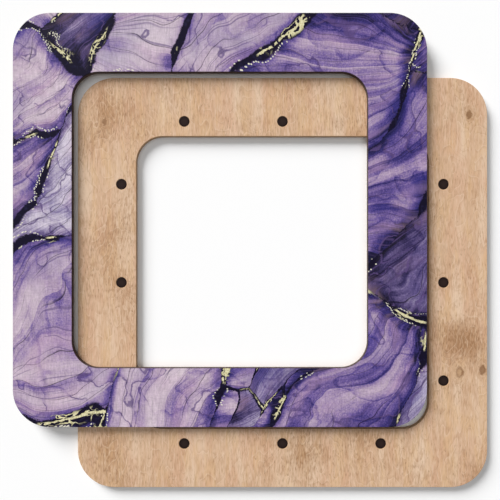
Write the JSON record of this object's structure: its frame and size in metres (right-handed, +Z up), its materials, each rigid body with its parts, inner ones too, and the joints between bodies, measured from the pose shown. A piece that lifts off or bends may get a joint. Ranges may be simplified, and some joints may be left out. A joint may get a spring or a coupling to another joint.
{
  "type": "square embroidery hoop",
  "caption": "Square magnetic embroidery hoop: a printed plywood front frame and a bare plywood back frame that clamp fabric between them.",
  "frame": {"origin": "on the table under the hoop, half way between the centres of the two frames, which is the bottom centre of the box round both", "axes": "+Z up, square to both frames, from the back frame to the printed face; +X to the right and +Y to the top of the finished picture"},
  "size_m": [0.2304, 0.2304, 0.0063],
  "materials": {
    "printed_veneer": "satin marbled print on plywood veneer",
    "bare_veneer": "sanded, bare face veneer",
    "core_veneer": "bare cross-grain core ply",
    "black_magnet": "black epoxy coating on a disc magnet"
  },
  "bodies": {
    "back_frame": {"back_frame_rear_veneer": "bare_veneer", "back_frame_core_veneer": "core_veneer", "back_frame_mating_veneer": "bare_veneer", "back_magnet_top_1": "black_magnet", "back_magnet_top_2": "black_magnet", "back_magnet_top_3": "black_magnet", "back_magnet_right_1": "black_magnet", "back_magnet_right_2": "black_magnet", "back_magnet_right_3": "black_magnet", "back_magnet_bottom_1": "black_magnet", "back_magnet_bottom_2": "black_magnet", "back_magnet_bottom_3": "black_magnet", "back_magnet_left_1": "black_magnet", "back_magnet_left_2": "black_magnet", "back_magnet_left_3": "black_magnet"},
    "front_frame": {"front_frame_mating_veneer": "bare_veneer", "front_frame_core_veneer": "core_veneer", "front_frame_printed_veneer": "printed_veneer", "front_magnet_top_1": "black_magnet", "front_magnet_top_2": "black_magnet", "front_magnet_top_3": "black_magnet", "front_magnet_right_1": "black_magnet", "front_magnet_right_2": "black_magnet", "front_magnet_right_3": "black_magnet", "front_magnet_bottom_1": "black_magnet", "front_magnet_bottom_2": "black_magnet", "front_magnet_bottom_3": "black_magnet", "front_magnet_left_1": "black_magnet", "front_magnet_left_2": "black_magnet", "front_magnet_left_3": "black_magnet"}
  },
  "joints": [
    {"name": "frame_close", "type": "slide", "parent": "back_frame", "child": "front_frame", "axis": [0.7071, -0.7071, 0], "range_m": [0, 0.04299]}
  ]
}
